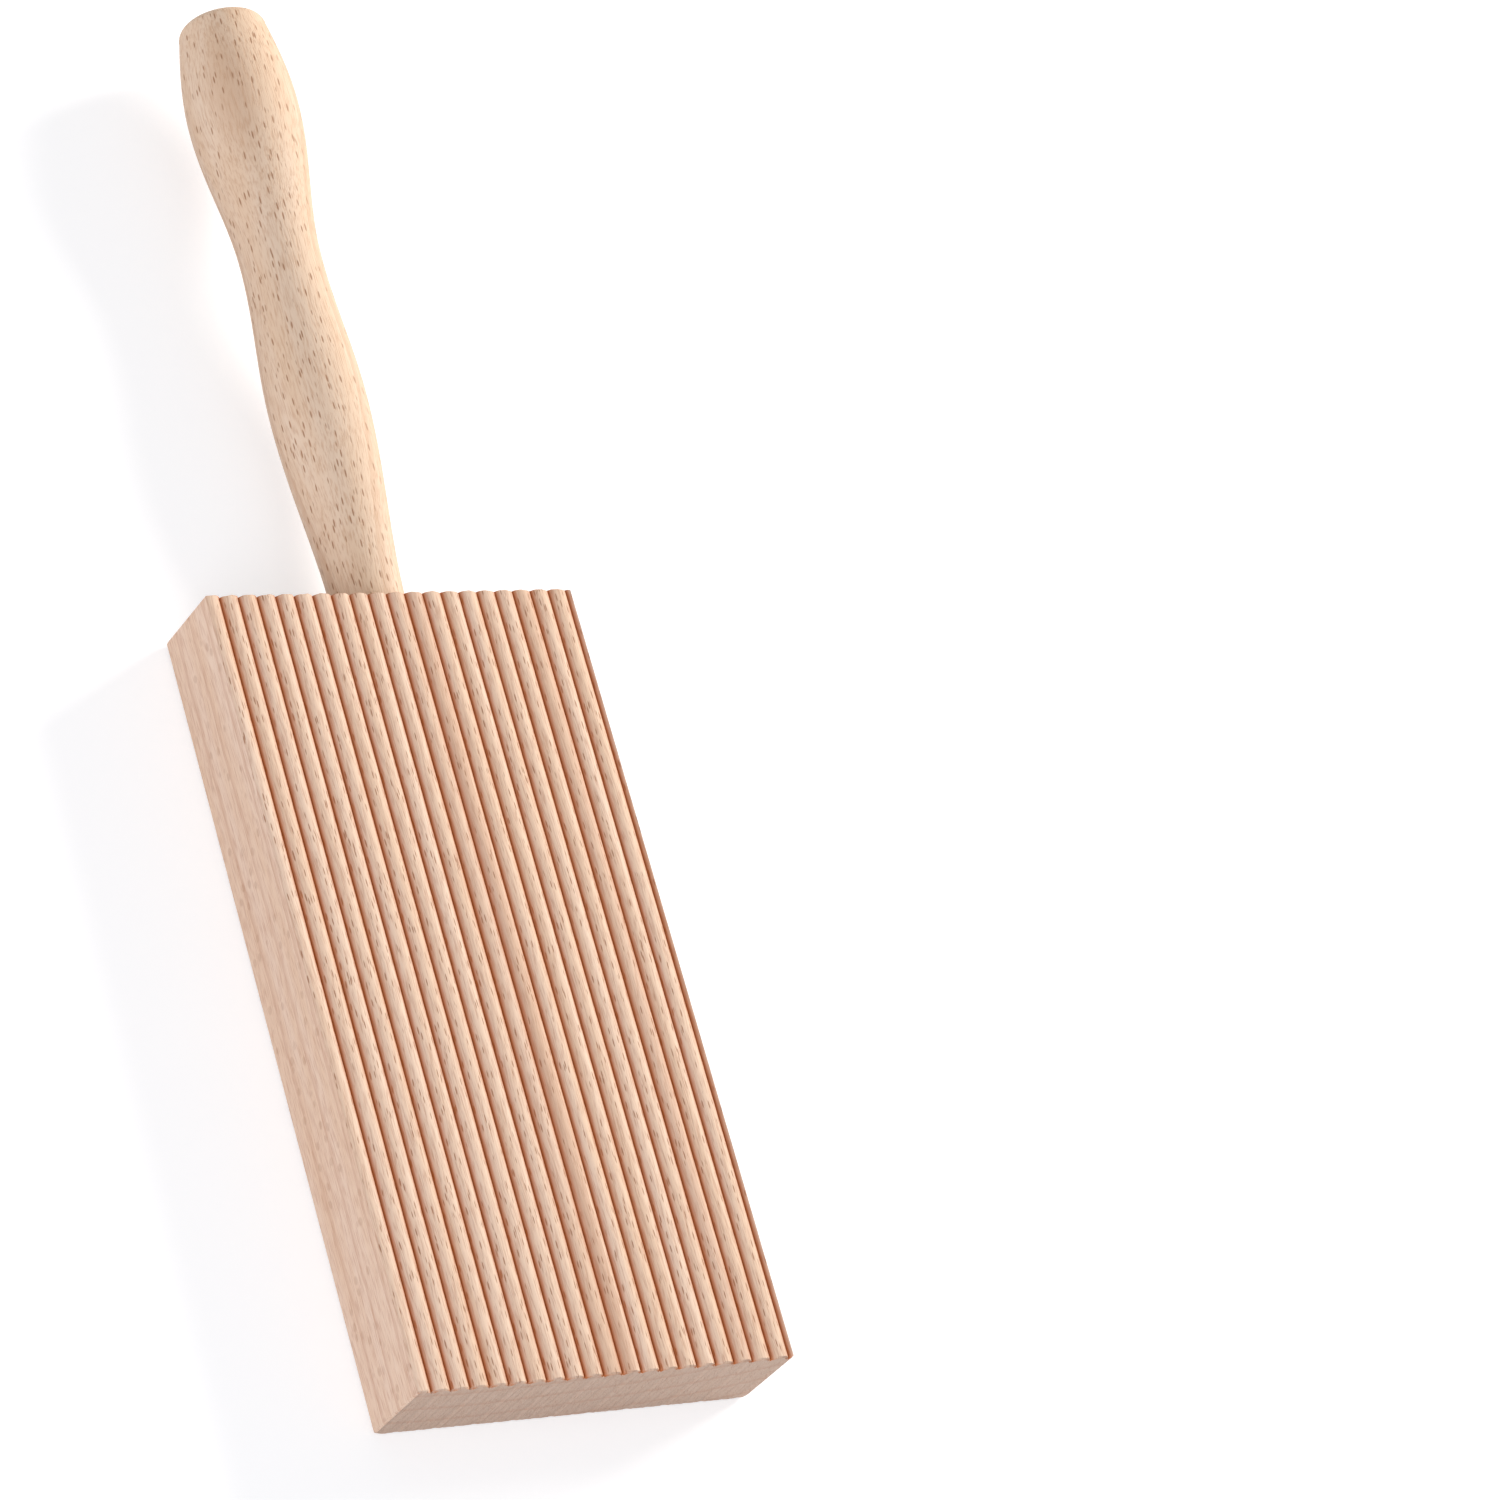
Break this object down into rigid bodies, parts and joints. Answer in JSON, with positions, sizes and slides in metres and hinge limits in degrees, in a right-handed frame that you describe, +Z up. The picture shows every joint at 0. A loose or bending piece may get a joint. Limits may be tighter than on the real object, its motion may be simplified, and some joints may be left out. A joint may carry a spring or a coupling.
{
  "type": "gnocchi board",
  "caption": "Flat wooden board with lengthways half-round ridges for rolling pasta, and a turned wooden handle glued into one end",
  "frame": {"origin": "centre of the board's flat back face, on the surface that it lies on", "axes": "+X across the ridges, +Y along the board towards the handle, +Z up out of the ridges"},
  "size_m": [0.064, 0.2367, 0.0208],
  "materials": {
    "board_beech": "bare planed and moulded beech",
    "handle_beech": "bare turned and sanded beech",
    "wood_glue": "cured wood glue"
  },
  "bodies": {
    "root": {"ridged_board": "board_beech", "turned_handle": "handle_beech", "glue_line": "wood_glue"}
  },
  "joints": []
}
